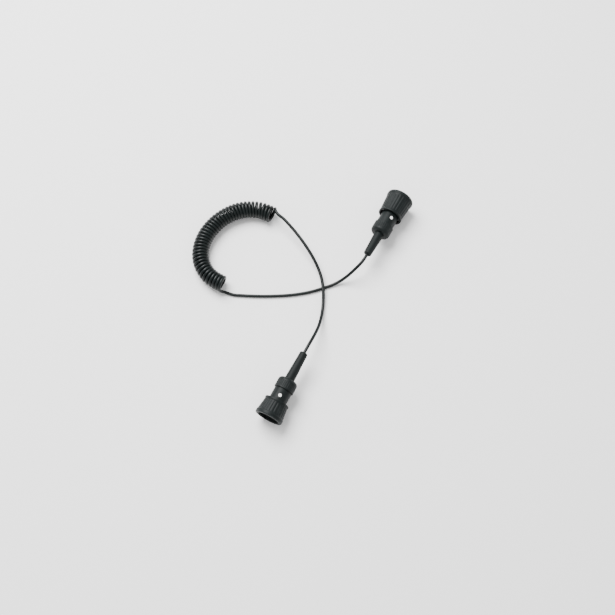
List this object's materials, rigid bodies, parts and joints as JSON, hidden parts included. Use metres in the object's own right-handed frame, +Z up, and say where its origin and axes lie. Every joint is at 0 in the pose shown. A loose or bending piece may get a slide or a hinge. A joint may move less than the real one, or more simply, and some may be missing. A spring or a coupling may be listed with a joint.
{
  "type": "retractile cord set",
  "caption": "Curly retractile cord with a straight lead at each end, each ending in a circular bayonet plug with a turning coupling ring.",
  "frame": {"origin": "on the surface that the set rests on, midway between the two plugs", "axes": "+Z up; -Y towards the near plug's mouth and +Y towards the far plug's mouth; the coiled cord lies towards -X"},
  "size_m": [0.1645, 0.2522, 0.0264],
  "materials": {
    "moulded_shell": "near-black moulded thermoplastic with a fine satin grain",
    "boot_rubber": "soft black rubber with a dull sheen",
    "insert_rubber": "matt dark grey insulating rubber",
    "spring_steel": "bright rolled steel",
    "plated_contacts": "gold-plated, smooth",
    "cord_jacket": "smooth black polyurethane with a soft gloss",
    "index_white": "white paint fill",
    "wire_insulation": "coloured insulation, one colour to each conductor"
  },
  "bodies": {
    "cable": {"snap_ring_a": "spring_steel", "wave_washer_a": "spring_steel", "plug_shell_a": "moulded_shell", "insert_a": "insert_rubber", "insert_retainer_a": "spring_steel", "face_seal_a": "insert_rubber", "contacts_a": "plated_contacts", "conductors_a": "wire_insulation", "cable_clamp_a": "spring_steel", "grommet_a": "insert_rubber", "index_dot_a": "index_white", "nut_seal_a": "insert_rubber", "clamp_nut_a": "moulded_shell", "boot_a": "boot_rubber", "cord_end_a": "cord_jacket", "snap_ring_b": "spring_steel", "wave_washer_b": "spring_steel", "plug_shell_b": "moulded_shell", "insert_b": "insert_rubber", "insert_retainer_b": "spring_steel", "face_seal_b": "insert_rubber", "contacts_b": "plated_contacts", "conductors_b": "wire_insulation", "cable_clamp_b": "spring_steel", "grommet_b": "insert_rubber", "index_dot_b": "index_white", "nut_seal_b": "insert_rubber", "clamp_nut_b": "moulded_shell", "boot_b": "boot_rubber", "cord_end_b": "cord_jacket", "cord_tail_a": "cord_jacket", "cord_coil": "cord_jacket", "cord_tail_b": "cord_jacket"},
    "coupling_ring_a": {"coupling_ring_a": "moulded_shell"},
    "coupling_ring_b": {"coupling_ring_b": "moulded_shell"}
  },
  "joints": [
    {"name": "coupling_a", "type": "hinge", "parent": "cable", "child": "coupling_ring_a", "pos_m": [-0.0025, -0.11305, 0.014], "axis": [0, 0.9962, 0.0872], "continuous": true},
    {"name": "coupling_b", "type": "hinge", "parent": "cable", "child": "coupling_ring_b", "pos_m": [0.0025, 0.10657, 0.01456], "axis": [0, -0.9962, 0.0872], "continuous": true}
  ]
}
